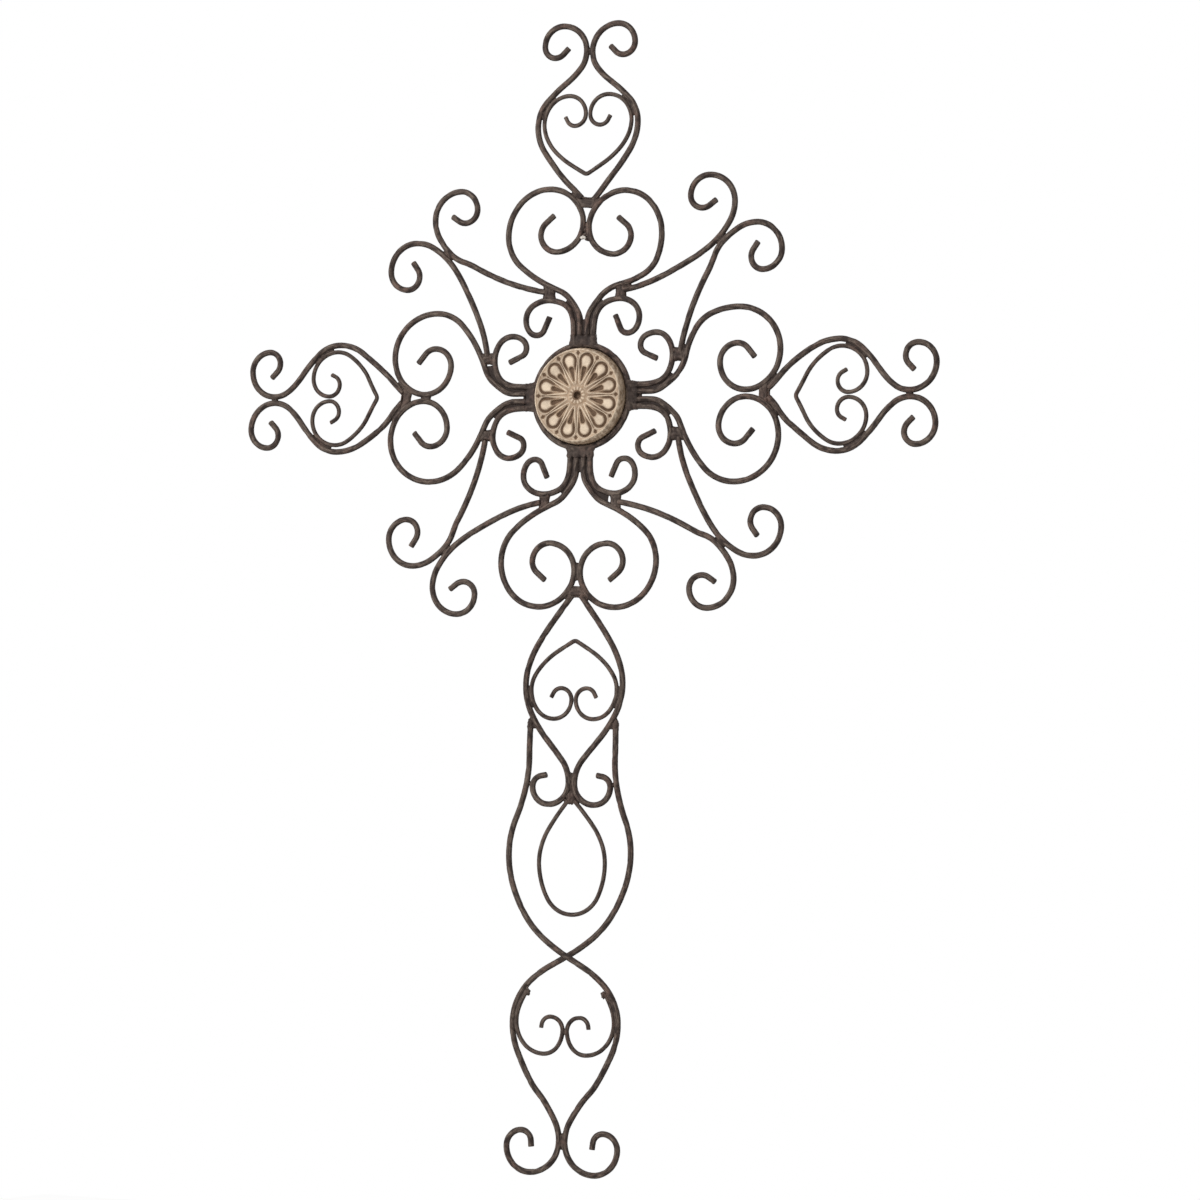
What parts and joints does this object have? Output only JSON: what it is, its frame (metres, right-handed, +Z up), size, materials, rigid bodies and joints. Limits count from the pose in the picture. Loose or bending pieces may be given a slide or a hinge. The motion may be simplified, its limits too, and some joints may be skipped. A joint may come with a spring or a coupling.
{
  "type": "hanging wall cross",
  "caption": "Openwork hanging wall cross of bent and welded round wire scrolls around a cast rosette, with a long foot, made to hang flat on a nail.",
  "frame": {"origin": "the nail the cross hangs on, in the crotch under the top finial's seam, at mid-thickness of the wires", "axes": "+X to the viewer's right seen from the front, +Y back into the wall, +Z up"},
  "size_m": [0.5968, 0.0149, 0.9098],
  "materials": {
    "iron": "dark brown paint over black iron, rubbed with rust brown",
    "rosette": "antiqued cream, matt, with brown wash in the recesses"
  },
  "bodies": {
    "root": {"hub_ring": "iron", "rosette": "rosette", "lower_heart": "iron", "teardrop": "iron", "top_saddle": "iron", "right_saddle": "iron", "bottom_saddle": "iron", "left_saddle": "iron", "top_big_scroll_right": "iron", "top_hub_curl_right": "iron", "top_corner_scroll_right": "iron", "top_big_scroll_left": "iron", "top_hub_curl_left": "iron", "top_corner_scroll_left": "iron", "right_big_scroll_lower": "iron", "right_hub_curl_lower": "iron", "right_corner_scroll_lower": "iron", "right_big_scroll_upper": "iron", "right_hub_curl_upper": "iron", "right_corner_scroll_upper": "iron", "bottom_big_scroll_left": "iron", "bottom_hub_curl_left": "iron", "bottom_corner_scroll_left": "iron", "bottom_big_scroll_right": "iron", "bottom_hub_curl_right": "iron", "bottom_corner_scroll_right": "iron", "left_big_scroll_upper": "iron", "left_hub_curl_upper": "iron", "left_corner_scroll_upper": "iron", "left_big_scroll_lower": "iron", "left_hub_curl_lower": "iron", "left_corner_scroll_lower": "iron", "top_finial_scroll_right": "iron", "top_finial_scroll_left": "iron", "top_heart": "iron", "right_finial_scroll_lower": "iron", "right_finial_scroll_upper": "iron", "right_heart": "iron", "left_finial_scroll_upper": "iron", "left_finial_scroll_lower": "iron", "left_heart": "iron", "bottom_shaft_scroll_left": "iron", "bottom_side_rail_left": "iron", "bottom_foot_curl_left": "iron", "bottom_shaft_scroll_right": "iron", "bottom_side_rail_right": "iron", "bottom_foot_curl_right": "iron"}
  },
  "joints": []
}
